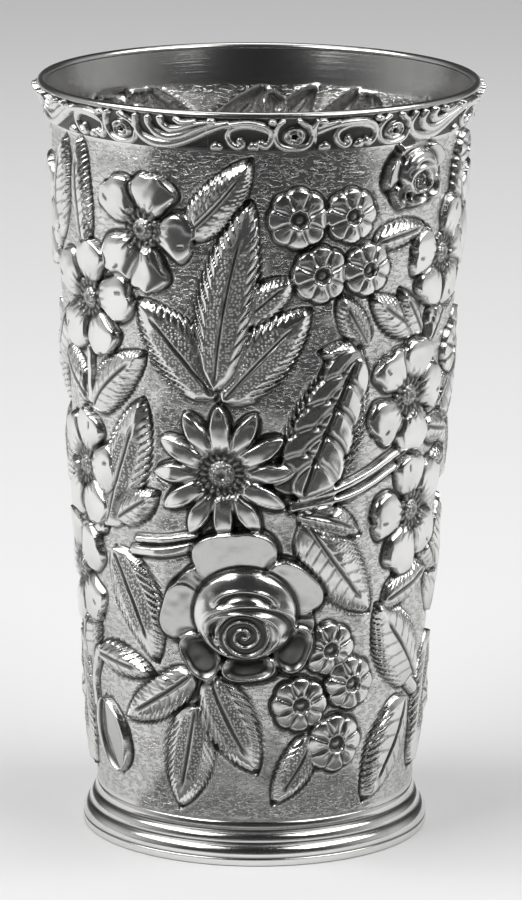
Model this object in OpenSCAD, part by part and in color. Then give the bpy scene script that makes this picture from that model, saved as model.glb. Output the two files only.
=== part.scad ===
// Tall silver julep cup: a tapered wall chased with flowers and leaves, a soldered-in bottom, a stepped
// foot ring, a cast floral border wrapped round the flared lip with one butt seam, and a lip wire.
// Stands on the table at z = 0 with its axis on Z; the photographed side faces -Y.

/* [Cup] */
// Height from the table to the top of the lip
cup_h = 135; // [125:1:150]
// Diameter of the flared lip over its border
lip_d = 79; // [77:0.5:84]
// Thickness of the silver sheet of the wall
sheet_t = 0.9; // [0.7:0.1:1.2]
// Room left for the solder between lapped pieces
solder_gap = 0.05; // [0.03:0.01:0.1]

/* [Wall] */
// Outer diameter of the wall where it leaves the foot
wall_low_d = 56.6; // [52:0.2:58]
// How far the lip flares out from the straight taper
flare_w = 1.4; // [0.8:0.1:2]
// Height of the flared lip
flare_h = 9; // [8:0.5:12]

/* [Chasing] */
// How far the flowers and leaves are pushed out from the ground
chased_h = 1.4; // [1:0.1:1.6]
// How deep the edges of the raised forms run into the sheet
chased_sink = 0.25; // [0.2:0.05:0.35]
// Reach of a blossom's petals from its eye
blossom_r = 10.6; // [9:0.2:11]
// Reach of the daisy's petals
daisy_r = 12.4; // [11:0.2:13]
// Radius of a small round flower
button_r = 5; // [4:0.1:5.5]
// Reach of the petals round the large rose
skirt_r = 14.4; // [13:0.2:15]
// Reach of the whorl in the large rose
whorl_r = 8.8; // [8:0.2:9.4]
// Height of its heart over the petals round it
heart_h = 2.4; // [1.5:0.1:3]
// Width of the broadest leaf
leaf_w = 12; // [10:0.5:13]

/* [Bottom] */
// Thickness of the bottom disc
disc_t = 1; // [0.8:0.1:1.5]
// Rise of the bottom disc at its middle
disc_crown = 1; // [0.4:0.1:1.6]
// Width of the flat rim of the bottom disc
disc_rim_w = 3; // [2:0.5:6]

/* [Foot] */
// Height of the foot
foot_h = 7.4; // [6:0.1:9]
// Height of the flat edge that stands on the table
flange_h = 1.4; // [1:0.1:2]
// How far the foot stands out from the wall
foot_spread = 2.6; // [2:0.1:4]
// Height of the ledge inside the foot that carries the wall and the bottom
seat_h = 3.6; // [2.5:0.1:5]
// Width of that ledge inside the wall
seat_w = 2; // [1.5:0.1:4]
// Broken edge under the foot
foot_chamfer = 0.2; // [0.1:0.05:0.4]

/* [Lip] */
// Height of the half-round lip wire
lip_wire_h = 1; // [0.8:0.1:1.6]
// Width of the lip wire
lip_wire_w = 1.6; // [1.3:0.1:2]
// Thickness of the border strip at the lip
border_t = 1.25; // [1:0.05:1.6]

/* [Border] */
// Height of the border strip
border_h = 5.7; // [5:0.1:7]
// Thickness of the strip behind its ornament
border_skin_t = 0.55; // [0.4:0.05:0.8]
// Half height of the plain roll along the top of the strip
roll_h = 0.45; // [0.3:0.05:0.7]
// Roses along the strip
roses_n = 8; // [5:1:8]
// Angle of the butt seam from the front
seam_angle = 15; // [0:1:360]
// Width of the butt seam
seam_gap = 0.15; // [0.1:0.05:0.3]
// Width of a cast rose
rose_w = 4.4; // [3.5:0.1:5]
// Width of an arched scroll
arch_w = 7.1; // [5:0.1:8]
// Width of a long leaf scroll
scroll_w = 16; // [12:0.5:17]
// Thickness of the cast strands
strand_t = 1.5; // [1:0.05:1.8]

/* [Hidden] */
$fn = 96;
// Angles of the first and last rose from the seam
rose_lead_angle = 22.6;
rose_trail_angle = 5.8;
// Counts of straight pieces along curved outlines and strands
curve_steps = 8;
strand_steps = 7;
strand_sides = 4;
rose_steps = 8;
roll_steps = 3;
border_sides = 72;
bead_steps = 6;
flare_steps = 4;
leaf_steps = 4;
heart_sides = 8;
heart_steps = 2;
// Sprays of flowers and leaves round the wall
sprays_n = 2;
// Petals of a blossom, a daisy, a small round flower, round a rose, and in a rose
blossom_petals = 5;
daisy_petals = 12;
button_petals = 5;
skirt_petals = 6;
whorl_petals = 5;
// Angles from a rose back to its arch and on to its long scroll
arch_angle = 12.2;
scroll_angle = 6.6;
// Overrun of cuts past the faces that they open
overrun = 1;

lip_r = lip_d / 2;
wall_top = cup_h - lip_wire_h;
flare_z = cup_h - flare_h;
wall_top_r = lip_r - border_t;
taper = (wall_top_r - flare_w - wall_low_d / 2) / (wall_top - foot_h);
border_z = wall_top - border_h;
rose_pitch = (360 - rose_lead_angle - rose_trail_angle) / (roses_n - 1);
silver = "silver";
old_silver = "darkgray";

// Outer radius of the wall: a straight taper with a curved flare to the lip
function wall_r(z) =
    wall_low_d / 2 + taper * (z - foot_h) + flare_w * pow(max(0, z - flare_z) / (wall_top - flare_z), 2);
function wall_in_r(z) = wall_r(z) - sheet_t;
// Evenly spaced heights from one level to another
function levels(low, high, n) = [for (i = [0:n]) low + (high - low) * i / n];

// Foot ring
foot_bore_r = wall_in_r(seat_h) - seat_w;
foot_in_r = wall_r(foot_h) + solder_gap;
foot_r = wall_low_d / 2 + foot_spread;
// Top, bottom, inner and outer edge of each bead, over the flat edge and out from the wall
bead_shares = [[1, 0.75, 0.04, 0.16], [0.7, 0.42, 0.22, 0.54], [0.37, 0.02, 0.62, 0.98]];
// The stretch of a round that each bead follows
bead_start_angle = 62;
bead_end_angle = -10;

// One rounded bead of the foot's outline, from its top to its foot
function bead(b) =
    [for (k = [0:bead_steps])
        let (a = bead_start_angle + (bead_end_angle - bead_start_angle) * k / bead_steps)
        let (out_share = (cos(a) - cos(bead_start_angle)) / (1 - cos(bead_start_angle)))
        let (down_share = (sin(bead_start_angle) - sin(a)) / (sin(bead_start_angle) - sin(bead_end_angle)))
        [foot_in_r + (foot_r - foot_in_r) * (b[2] + (b[3] - b[2]) * out_share),
            flange_h + (foot_h - flange_h) * (b[0] + (b[1] - b[0]) * down_share)]];

module foot_ring() {
    outer = [for (b = bead_shares) each bead(b)];
    color(silver)
    rotate_extrude()
    polygon(concat(
        [[wall_r(seat_h) + solder_gap, seat_h], [foot_in_r, foot_h]],
        outer,
        [[foot_r, flange_h], [foot_r, foot_chamfer], [foot_r - foot_chamfer, 0]],
        [[foot_bore_r, 0], [foot_bore_r, seat_h]]
    ));
}

// Bottom disc, pushed up at its middle
disc_r = wall_in_r(seat_h) - solder_gap;
crown_r = disc_r - disc_rim_w;
function crown(z) =
    [for (i = [0:curve_steps])
        let (s = i / curve_steps)
        [crown_r * s, z + disc_crown * (1 + cos(180 * s)) / 2]];

module bottom_disc() {
    under = crown(seat_h);
    top = crown(seat_h + disc_t);
    color(silver)
    rotate_extrude()
    polygon(concat(
        under,
        [[disc_r, seat_h], [disc_r, seat_h + disc_t]],
        [for (i = [curve_steps:-1:0]) top[i]]
    ));
}

// Wall: a turned sheet, with the same spray of flowers and leaves raised on it on each side.
// Places are angles from the front and heights as shares of the cup's height.
// Blossoms and the daisy also have a turn of their petals, small flowers and roses a size.
// Leaves go from base to tip and have a width.
blossom_shares = [
    [-33.5, 0.839, 66], [-56.5, 0.735, 8], [51.5, 0.613, 0], [57, 0.455, 30],
    [-65.5, 0.506, 4], [-76, 0.36, 35], [64, 0.792, 56], [91, 0.83, 60]
];
daisy_shares = [[-10.5, 0.526, 2]];
button_shares = [
    [11, 0.861, 1.05], [26.3, 0.861, 0.95], [17.7, 0.787, 1], [32, 0.789, 0.95],
    [24.5, 0.287, 0.95], [15, 0.215, 1], [33, 0.237, 0.95], [28, 0.158, 1.05],
    [87, 0.178, 0.95], [80, 0.652, 0.9]
];
rose_shares = [[-3.5, 0.339, 1], [48, 0.885, 0.5]];
leaf_shares = [
    [-21, 0.833, -2, 0.93, 0.67], [-57.5, 0.8, -57, 0.93, 0.54], [-74, 0.8, -66, 0.93, 0.58],
    [-57, 0.589, -34.5, 0.676, 0.67], [-60, 0.596, -77, 0.663, 0.58], [-54, 0.433, -36, 0.615, 0.87],
    [-51, 0.407, -34.5, 0.263, 0.87], [-66, 0.252, -36, 0.244, 0.5], [-20.5, 0.256, -49.5, 0.178, 0.62],
    [-20, 0.211, -27, 0.069, 0.79], [-15, 0.256, 0.8, 0.123, 0.79], [20, 0.17, 6.5, 0.08, 0.54],
    [61, 0.2, 42, 0.07, 0.87], [67, 0.219, 42.5, 0.337, 1], [45, 0.339, 72, 0.374, 0.54],
    [15, 0.465, 39, 0.332, 0.92], [-4, 0.726, 10, 0.784, 0.54], [33.5, 0.689, 23.5, 0.759, 0.46],
    [53, 0.696, 34, 0.752, 0.54], [-12.5, 0.626, -36, 0.747, 0.92], [-10, 0.622, 15, 0.743, 0.87],
    [-12.5, 0.637, -2, 0.884, 0.87], [13.5, 0.491, 31, 0.689, 1], [86, 0.704, 78, 0.578, 0.58],
    [80, 0.563, 96, 0.459, 0.67], [80, 0.296, 88, 0.444, 0.67], [84, 0.267, 72, 0.089, 0.79],
    [90, 0.259, 101, 0.081, 0.79], [78, 0.741, 72, 0.919, 0.58], [-70, 0.189, -53.5, 0.098, 0.46]
];
// Reach of the outline over one petal, from the gap before it
petal_shares = [0.6, 1, 1];
narrow_petal_shares = [0.66, 1];
button_petal_shares = [0.78, 1];
skirt_petal_shares = [0.8, 1, 1];
// Rings of a flower from its edge to its middle: reach and height
flower_ring_shares = [[0.88, 0.8], [0.3, 1]];
button_ring_shares = [[0.86, 1], [0.42, 0.9]];
skirt_ring_shares = [[0.92, 0.9], [0.6, 0.5]];
whorl_ring_shares = [[0.88, 0.5], [0.5, 0.6]];
// Height of the pit in the middle of a flower, and reach of the heart of a rose
pit_share = 0.35;
heart_share = 0.6;
// A leaf: where it is widest, its least width, and the height of its ends
leaf_belly_share = 0.7;
leaf_point_share = 0.06;
leaf_end_share = 0.55;

// A place on the wall: an angle, a distance along the wall, a height, and a distance out from the ground
function on_wall(a, u, z, out) =
    let (r = wall_r(z), b = a + u / r * 180 / PI)
    [(r + out) * sin(b), -(r + out) * cos(b), z];
// Outline of a flower: the shares of one petal, repeated
function flower_outline(r, petals, shares, turn) =
    let (m = len(shares), n = petals * m)
    [for (k = [0:n - 1])
        let (a = turn + 360 * (k - m / 2) / n)
        r * shares[k % m] * [cos(a), sin(a)]];

// A raised form round a place: its outline sunk in the sheet, then rings of reach and height
module mound(a, z, outline, rings, middle_h) {
    n = len(outline);
    steps = concat([[1, -chased_sink]], rings);
    last = len(steps) * n;
    points = [for (g = steps, p = outline) on_wall(a, g[0] * p.x, z + g[0] * p.y, g[1])];
    bands = [for (i = [0:len(rings) - 1], k = [0:n - 1])
        let (b = i * n + k, c = i * n + (k + 1) % n)
        each [[b, b + n, c + n], [b, c + n, c]]];
    top = [for (k = [0:n - 1]) [last - n + k, last, last - n + (k + 1) % n]];
    under = [for (k = [0:n - 1]) [k, (k + 1) % n, last + 1]];
    polyhedron(
        concat(points, [on_wall(a, 0, z, middle_h), on_wall(a, 0, z, -2 * chased_sink)]),
        concat(bands, top, under)
    );
}

// Rings of a form, with heights worked out from shares over a level
function form_rings(shares, h, level = 0) = [for (g = shares) [g[0], level + g[1] * h]];

// A flower of flat petals with a pit in its middle
module flower(a, z, r, petals, shares, turn) {
    outline = flower_outline(r, petals, shares, turn);
    mound(a, z, outline, form_rings(flower_ring_shares, chased_h), pit_share * chased_h);
}

// A small lobed flower with a pit in its middle
module button_flower(a, z, r) {
    outline = flower_outline(r, button_petals, button_petal_shares, 0);
    mound(a, z, outline, form_rings(button_ring_shares, chased_h), pit_share * chased_h);
}

// A rose: a skirt of petals, a whorl in it, and a domed heart
module rose(a, z, size) {
    h = size * heart_h;
    skirt = flower_outline(size * skirt_r, skirt_petals, skirt_petal_shares, 0);
    mound(a, z, skirt, form_rings(skirt_ring_shares, chased_h), skirt_ring_shares[1][1] * chased_h);
    whorl = flower_outline(size * whorl_r, whorl_petals, button_petal_shares, 90);
    whorl_h = chased_h + whorl_ring_shares[1][1] * h;
    mound(a, z, whorl, form_rings(whorl_ring_shares, h, chased_h), whorl_h);
    heart = flower_outline(heart_share * size * whorl_r, heart_sides, [1], 0);
    rings = [for (i = [0:heart_steps - 1])
        let (b = 90 * i / heart_steps)
        [cos(b), whorl_h + (chased_h + h - whorl_h) * sin(b)]];
    mound(a, z, heart, rings, chased_h + h);
}

// A leaf with a raised midrib, broad near its base and pointed at its tip
module leaf(a, f) {
    z = f[1] * cup_h;
    run = [(f[2] - f[0]) * PI / 180 * wall_r((f[1] + f[3]) / 2 * cup_h), (f[3] - f[1]) * cup_h];
    across = [run.y, -run.x] / norm(run);
    tube([for (i = [0:leaf_steps])
        let (s = i / leaf_steps)
        let (bow = max(leaf_point_share, sin(180 * pow(s, leaf_belly_share))))
        let (half_w = bow * f[4] * leaf_w / 2)
        let (crown = chased_h * (leaf_end_share + (1 - leaf_end_share) * bow))
        [for (g = [[1, -chased_sink], [0, crown], [-1, -chased_sink], [0, -2 * chased_sink]])
            let (p = s * run + g[0] * half_w * across)
            on_wall(a, p.x, z + p.y, g[1])]]);
}

module spray(turn) {
    for (f = blossom_shares)
        flower(turn + f[0], f[1] * cup_h, blossom_r, blossom_petals, petal_shares, f[2]);
    for (f = daisy_shares)
        flower(turn + f[0], f[1] * cup_h, daisy_r, daisy_petals, narrow_petal_shares, f[2]);
    for (f = button_shares)
        button_flower(turn + f[0], f[1] * cup_h, f[2] * button_r);
    for (f = rose_shares)
        rose(turn + f[0], f[1] * cup_h, f[2]);
    for (f = leaf_shares)
        leaf(turn + f[0], f);
}

module body_wall() {
    heights = concat([seat_h], levels(flare_z, wall_top, flare_steps));
    color(silver)
    union() {
        rotate_extrude()
        polygon(concat(
            [for (z = heights) [wall_r(z), z]],
            [for (i = [len(heights) - 1:-1:0]) [wall_in_r(heights[i]), heights[i]]]
        ));
        for (i = [0:sprays_n - 1])
            spray(360 * i / sprays_n);
    }
}

// Border strip
function border_in_r(z) = wall_r(z) + solder_gap;
function border_roll(z) = max(0, 1 - pow((wall_top - z) / roll_h - 1, 2));
function border_skin_r(z) = border_in_r(z) + border_skin_t;
function border_out_r(z) =
    border_skin_r(z) + (border_t - solder_gap - border_skin_t) * border_roll(z);
border_in_levels = levels(border_z, wall_top, 2);
border_out_levels = concat(
    levels(border_z, wall_top - 2 * roll_h, 1),
    [for (i = [1:roll_steps]) wall_top - roll_h * (1 + cos(180 * i / roll_steps))]
);

// A place on the face of the strip, from an angle, a distance along it and a height above its lower edge
function on_strip(a, u, v) =
    let (z = border_z + v, r = border_skin_r(z), b = a + u / lip_r * 180 / PI)
    [r * sin(b), -r * cos(b), z];

// Direction of a row of points at one of them, and the ring of points round it
function along(p, i, loop) =
    let (n = len(p))
    loop ? p[(i + 1) % n] - p[(i + n - 1) % n] : p[min(i + 1, n - 1)] - p[max(i - 1, 0)];
function unit(v) = v / norm(v);
function ring_points(p, i, r, loop) =
    let (t = unit(along(p, i, loop)), out = unit([p[i].x, p[i].y, 0]))
    let (side = unit(cross(t, out)), up = cross(side, t))
    [for (k = [0:strand_sides - 1])
        let (a = 360 * k / strand_sides)
        p[i] + r * (cos(a) * side + sin(a) * up)];

// A closed skin over rings of points, counted alike; a loop closes on itself
module tube(rings, loop = false) {
    n = len(rings);
    m = len(rings[0]);
    sides = [for (i = [0:n - (loop ? 1 : 2)], k = [0:m - 1])
        let (next = (i + 1) % n * m, a = i * m + k, b = i * m + (k + 1) % m)
        let (c = next + k, d = next + (k + 1) % m)
        each [[a, b, c], [b, d, c]]];
    caps = loop ? [] : [[for (k = [m - 1:-1:0]) k], [for (k = [0:m - 1]) (n - 1) * m + k]];
    polyhedron([for (r = rings) each r], concat(sides, caps));
}

// One cast strand along a row of points, with a radius at each
module strand(path, radii, loop = false) {
    tube([for (i = [0:len(path) - 1]) ring_points(path, i, radii[i], loop)], loop);
}

// Levels of the ornament as shares of the strip's height
scroll_high_share = 0.9;
scroll_low_share = 0.24;
arch_high_share = 0.84;
arch_low_share = 0.2;
rose_mid_share = 0.47;
// Hand-set corners of the long scroll's curve, across its width and up its height
scroll_shares = [[0, 0.9], [0.02, -0.35], [0.36, -0.35], [1, 1]];
// Parts of the ornament as shares of the strand's thickness and the rose's width
strand_share = 0.5;
tip_share = 0.3;
leaf_share = 0.65;
volute_share = 0.7;
rose_tall_share = 0.72;
rose_eye_share = 0.3;

function bezier(p, t) =
    pow(1 - t, 3) * p[0] + 3 * t * pow(1 - t, 2) * p[1] + 3 * t * t * (1 - t) * p[2] + pow(t, 3) * p[3];

// A leaf that curls under and sweeps up to the right
module long_scroll(a) {
    low = scroll_low_share * border_h;
    rise = (scroll_high_share - scroll_low_share) * border_h;
    path = [for (i = [0:strand_steps])
        let (s = bezier(scroll_shares, i / strand_steps))
        on_strip(a, s.x * scroll_w, low + s.y * rise)];
    strand(path, [for (i = [0:strand_steps])
        strand_t * (tip_share + (leaf_share - tip_share) * sin(180 * i / strand_steps))]);
}

// An arch that thickens to a volute at each foot
module arch_scroll(a) {
    low = arch_low_share * border_h;
    rise = (arch_high_share - arch_low_share) * border_h;
    r = strand_t * strand_share;
    path = [for (i = [0:strand_steps])
        let (b = 200 - 220 * i / strand_steps)
        on_strip(a, (arch_w / 2 - r) * cos(b), low + rise * sin(b))];
    strand(path, [for (i = [0:strand_steps])
        strand_t * (i % strand_steps == 0 ? volute_share : strand_share)]);
}

// An oval ring of petals round a raised eye
module cast_rose(a) {
    mid = rose_mid_share * border_h;
    r = strand_t * strand_share;
    path = [for (i = [0:rose_steps - 1])
        let (b = -360 * i / rose_steps)
        on_strip(a, (rose_w / 2 - r) * cos(b), mid + (rose_w / 2 * rose_tall_share - r) * sin(b))];
    strand(path, [for (i = [1:rose_steps]) r], true);
    hull()
        translate(on_strip(a, 0, mid))
        sphere(rose_w * rose_eye_share, $fn = 6);
}

module seam_cut() {
    translate([0, 0, border_z - overrun])
    rotate([0, 0, seam_angle - 90])
    translate([0, -seam_gap / 2, 0])
    cube([lip_d, seam_gap, border_h + 2 * overrun]);
}

// The round of the wall that the strip is bent to
module wall_cut() {
    cut_levels = concat([border_z - overrun], border_in_levels, [wall_top + overrun]);
    rotate_extrude($fn = border_sides)
    polygon(concat(
        [[0, border_z - overrun]],
        [for (z = cut_levels) [border_in_r(z), z]],
        [[0, wall_top + overrun]]
    ));
}

module rim_border() {
    color(old_silver)
    difference() {
        union() {
            rotate_extrude($fn = border_sides)
            polygon(concat(
                [[wall_low_d / 2, wall_top], [wall_low_d / 2, border_z]],
                [for (z = border_out_levels) [border_out_r(z), z]]
            ));
            for (i = [0:roses_n - 1]) {
                a = seam_angle + rose_lead_angle + i * rose_pitch;
                cast_rose(a);
                arch_scroll(a - arch_angle);
                if (i < roses_n - 1) long_scroll(a + scroll_angle);
            }
        }
        wall_cut();
        seam_cut();
    }
}

// Lip wire, half round on top of the wall and the strip
module lip_wire() {
    in_r = wall_in_r(wall_top);
    w = lip_wire_w;
    color(silver)
    rotate_extrude()
    polygon([for (i = [0:2 * curve_steps])
        let (a = 180 * i / (2 * curve_steps))
        [in_r + w / 2 * (1 + cos(a)), wall_top + lip_wire_h * sin(a)]]);
}

foot_ring();
bottom_disc();
body_wall();
rim_border();
lip_wire();
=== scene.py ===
import math
import bpy
import numpy as np
from mathutils import Matrix, Vector


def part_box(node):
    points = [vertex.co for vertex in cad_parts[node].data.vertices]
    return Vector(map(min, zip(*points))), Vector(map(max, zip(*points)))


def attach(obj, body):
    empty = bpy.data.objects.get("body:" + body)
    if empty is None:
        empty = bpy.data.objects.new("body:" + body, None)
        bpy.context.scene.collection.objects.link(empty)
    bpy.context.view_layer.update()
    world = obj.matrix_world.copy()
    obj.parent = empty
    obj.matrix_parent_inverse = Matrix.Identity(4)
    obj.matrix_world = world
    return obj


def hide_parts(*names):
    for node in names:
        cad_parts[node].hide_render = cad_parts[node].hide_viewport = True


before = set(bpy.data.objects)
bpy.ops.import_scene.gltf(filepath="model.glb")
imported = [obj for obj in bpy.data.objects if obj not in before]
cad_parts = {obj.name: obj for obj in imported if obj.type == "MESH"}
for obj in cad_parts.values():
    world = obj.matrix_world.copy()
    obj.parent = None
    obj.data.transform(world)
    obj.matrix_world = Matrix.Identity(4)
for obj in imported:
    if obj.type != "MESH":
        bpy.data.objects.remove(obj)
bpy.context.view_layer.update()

# Foot ring
# A drawn silver moulding of three rounded beads on a flat edge, bent to a ring and soldered round
# the lower end of the wall. Polished, with old tarnish left in the steps between the beads.

MM = 0.001
foot_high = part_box("foot_ring")[1]
foot_radius = foot_high.x / MM
foot_height = foot_high.z / MM
wall_low_radius = 28.3
foot_flange = 1.4
foot_chamfer = 0.18
seat_height = 3.6
seat_radius = 25.15
foot_lap = 0.1

# Each bead of the foot: upper and lower height, and its share of the spread at both ends.
foot_beads = ((1.0, 0.80, 0.00, 0.14), (0.76, 0.53, 0.22, 0.54), (0.49, 0.20, 0.62, 0.98))
foot_bead_steps = 14
foot_sides = 256
foot_bead_start = math.radians(62)
foot_bead_end = math.radians(-10)


def add_object(name, data):
    """A new object of the scene, at the origin."""
    made = bpy.data.objects.new(name, data)
    bpy.context.scene.collection.objects.link(made)
    return made


def plain_mesh(name, vertices, faces):
    """A mesh from points in metres and the faces between them."""
    mesh = bpy.data.meshes.new(name)
    mesh.from_pydata(vertices, [], faces)
    mesh.shade_smooth()
    return mesh


def add_piece(name, mesh, node):
    """One visual piece at the origin, in metres, that stands for a solid of the frame."""
    piece = add_object(name, mesh)
    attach(piece, "root")
    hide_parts(node)


def set_attribute(mesh, name, values):
    """A number on every point of a mesh, for its material to read."""
    layer = mesh.attributes.new(name, "FLOAT", "POINT")
    layer.data.foreach_set("value", np.ascontiguousarray(values, dtype=np.float32).ravel())


def turned_ring(outline, sides):
    """Points and quads of a closed outline (radius, height in mm) turned round the axis."""
    count = len(outline)
    points = []
    for side in range(sides):
        angle = 2 * math.pi * side / sides
        for radius, height in outline:
            points.append((radius * MM * math.cos(angle), radius * MM * math.sin(angle), height * MM))
    quads = []
    for side in range(sides):
        after = (side + 1) % sides
        for step in range(count):
            following = (step + 1) % count
            quads.append((side * count + step, after * count + step,
                          after * count + following, side * count + following))
    return points, quads


def add_node(tree, kind, **settings):
    """A shader node with some of its settings and input values."""
    made = tree.nodes.new(kind)
    for key, value in settings.items():
        if key in made.inputs:
            made.inputs[key].default_value = value
        else:
            setattr(made, key, value)
    return made


def math_node(tree, operation, *values, clamp=False):
    """The output of a Math node; each value is a socket or a number."""
    made = add_node(tree, "ShaderNodeMath", operation=operation, use_clamp=clamp)
    for index, value in enumerate(values):
        if isinstance(value, (int, float)):
            made.inputs[index].default_value = value
        else:
            tree.links.new(value, made.inputs[index])
    return made.outputs[0]


def ramp(tree, source, low, high, ends=(0.0, 1.0), kind="SMOOTHSTEP"):
    """A step from the first end at low to the second at high."""
    made = add_node(tree, "ShaderNodeMapRange", interpolation_type=kind)
    for key, value in zip(("From Min", "From Max", "To Min", "To Max"), (low, high, *ends)):
        made.inputs[key].default_value = value
    tree.links.new(source, made.inputs["Value"])
    return made.outputs["Result"]


def colour_mix(tree, factor, first, second):
    """A colour that goes from the first to the second with a factor."""
    made = add_node(tree, "ShaderNodeMix", data_type="RGBA")
    made.inputs["A"].default_value = (*first, 1)
    made.inputs["B"].default_value = (*second, 1)
    tree.links.new(factor, made.inputs["Factor"])
    return made.outputs["Result"]


def noise(tree, vector, scale, detail):
    """Soft noise of a scale, read at a place."""
    made = add_node(tree, "ShaderNodeTexNoise", Scale=scale, Detail=detail)
    tree.links.new(vector, made.inputs["Vector"])
    return made.outputs["Fac"]


def node_group(name, kind, inputs, outputs):
    """A node group with its named sockets: its tree, its input node and its output node."""
    tree = bpy.data.node_groups.new(name, kind)
    for in_out, sockets in (("INPUT", inputs), ("OUTPUT", outputs)):
        for label, socket in sockets.items():
            tree.interface.new_socket(label, in_out=in_out, socket_type="NodeSocket" + socket)
    return tree, tree.nodes.new("NodeGroupInput"), tree.nodes.new("NodeGroupOutput")


# Bright silver, and a dark tone for tarnish that also paints shade and dark reflections where the masks
# carry them.
bright_silver = (0.86, 0.855, 0.845)
tarnish_and_shade_tone = (0.1, 0.098, 0.096)


def silver_tone_group():
    """Silver that darkens with tarnish and painted shade: a mask of both in, a colour and a roughness out.
    """
    tree, source, result = node_group(
        "silver_tone", "ShaderNodeTree", {"Place": "Vector", "Tarnish and shade": "Float", "Polish": "Float"},
        {"Color": "Color", "Roughness": "Float"})
    cloud = noise(tree, source.outputs["Place"], 140.0, 3.0)
    speck = noise(tree, source.outputs["Place"], 1900.0, 2.0)
    uneven = math_node(tree, "MULTIPLY_ADD", cloud, 0.4, 0.9)
    film_and_shade = math_node(tree, "MULTIPLY", source.outputs["Tarnish and shade"], uneven, clamp=True)
    haze = math_node(tree, "MULTIPLY", ramp(tree, cloud, 0.4, 0.75), 0.16)
    film_and_shade = math_node(tree, "MAXIMUM", film_and_shade, haze)
    grain = math_node(tree, "MULTIPLY", speck, 0.08)
    rough = math_node(tree, "MULTIPLY_ADD", film_and_shade, 0.16, source.outputs["Polish"])
    rough = math_node(tree, "ADD", rough, grain, clamp=True)
    tree.links.new(colour_mix(tree, film_and_shade, bright_silver, tarnish_and_shade_tone), result.inputs["Color"])
    tree.links.new(rough, result.inputs["Roughness"])
    return tree


silver_tone = silver_tone_group()


def shader_material(name):
    """A new material, its node tree and its Principled shader."""
    material = bpy.data.materials.new(name)
    material.use_nodes = True
    return material, material.node_tree, material.node_tree.nodes["Principled BSDF"]


def mask_node(tree, name):
    """A number that the mesh carries on its points."""
    return add_node(tree, "ShaderNodeAttribute", attribute_name=name).outputs["Fac"]


def silver_material(name, polish, height, bump_distance, tarnish_and_shade=None, satin=None):
    """Silver with the shared tone; height, tarnish with painted shade, and satin are functions that give a
    socket.
    """
    material, tree, shader = shader_material(name)
    shader.inputs["Metallic"].default_value = 1.0
    place = add_node(tree, "ShaderNodeTexCoord").outputs["Object"]
    tone = add_node(tree, "ShaderNodeGroup", node_tree=silver_tone, Polish=polish)
    tree.links.new(place, tone.inputs["Place"])
    mark = tarnish_and_shade(tree, place) if tarnish_and_shade else mask_node(tree, "tarnish_and_shade")
    tree.links.new(mark, tone.inputs["Tarnish and shade"])
    if satin is not None:
        tree.links.new(math_node(tree, "ADD", satin(tree), polish), tone.inputs["Polish"])
    tree.links.new(tone.outputs["Color"], shader.inputs["Base Color"])
    tree.links.new(tone.outputs["Roughness"], shader.inputs["Roughness"])
    bump = add_node(tree, "ShaderNodeBump", Strength=1.0, Distance=bump_distance)
    tree.links.new(height(tree, place), bump.inputs["Height"])
    tree.links.new(bump.outputs["Normal"], shader.inputs["Normal"])
    return material


def stretched(tree, place, scale):
    """A place with each of its axes scaled."""
    made = add_node(tree, "ShaderNodeMapping", Scale=scale)
    tree.links.new(place, made.inputs["Vector"])
    return made.outputs["Vector"]


def turning_lines(tree, place):
    """Fine scratches that run round the axis, as polishing on a lathe leaves them."""
    return noise(tree, stretched(tree, place, (40, 40, 6000)), 1.0, 3.0)


def foot_outline():
    """The section of the moulding: beads and ledges outside, a seat for the wall inside."""
    spread = foot_radius - wall_low_radius
    lap_radius = wall_low_radius - foot_lap
    wide = 1 - math.cos(foot_bead_start)
    tall = math.sin(foot_bead_start) - math.sin(foot_bead_end)
    outline = [(lap_radius, seat_height), (lap_radius, foot_height - 0.15)]
    marks = [0.6, 0.9]
    for upper, lower, inner, outer in foot_beads:
        for step in range(foot_bead_steps + 1):
            turn = foot_bead_start + (foot_bead_end - foot_bead_start) * step / foot_bead_steps
            across = (math.cos(turn) - math.cos(foot_bead_start)) / wide
            down = (math.sin(foot_bead_start) - math.sin(turn)) / tall
            outline.append((wall_low_radius + spread * (inner + (outer - inner) * across),
                            foot_height * (upper + (lower - upper) * down)))
            marks.append((0.85, 0.4, 0.02)[min(step, foot_bead_steps - step, 2)])
    outline += [(foot_radius - 0.22, foot_flange - 0.02), (foot_radius - 0.05, foot_flange - 0.08),
                (foot_radius, foot_flange - 0.2), (foot_radius, foot_chamfer),
                (foot_radius - foot_chamfer, 0), (seat_radius, 0), (seat_radius, seat_height)]
    marks += [0.9, 0.3, 0.05, 0.1, 0.8, 0.4, 0.3]
    return outline[::-1], marks[::-1]


def turned_piece(name, outline, sides, marks, material, node):
    """A piece turned from an outline, with a mark of tarnish for each point of it."""
    mesh = plain_mesh(name, *turned_ring(outline, sides))
    mesh.materials.append(material)
    set_attribute(mesh, "tarnish_and_shade", np.tile(marks, sides))
    add_piece(name, mesh, node)


polished_silver = silver_material("polished_silver", 0.12, turning_lines, 0.000007)
foot_section, foot_marks = foot_outline()
turned_piece("foot_ring_moulding", foot_section, foot_sides, foot_marks,
             polished_silver, "foot_ring")

# Bottom disc
# A round of sheet silver soldered in on the ledge of the foot. Pushed up a little at its middle,
# plain, with the rings of the spinning lathe on it.

disc_low, disc_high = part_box("bottom_disc")
disc_radius = disc_high.x / MM
disc_thickness = 1.0
disc_crown = 1.0
disc_rim = 3.0
disc_steps = 12
disc_sides = 192


def disc_outline():
    """Under and upper side of the disc from its middle to its rim and back."""
    under = []
    crown_radius = disc_radius - disc_rim
    for step in range(disc_steps + 1):
        share = max(step / disc_steps, 0.004)
        rise = disc_crown * (1 + math.cos(math.pi * share)) / 2
        under.append((crown_radius * share, disc_low.z / MM + rise))
    under.append((disc_radius, disc_low.z / MM))
    return under + [(radius, height + disc_thickness) for radius, height in reversed(under)]


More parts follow.
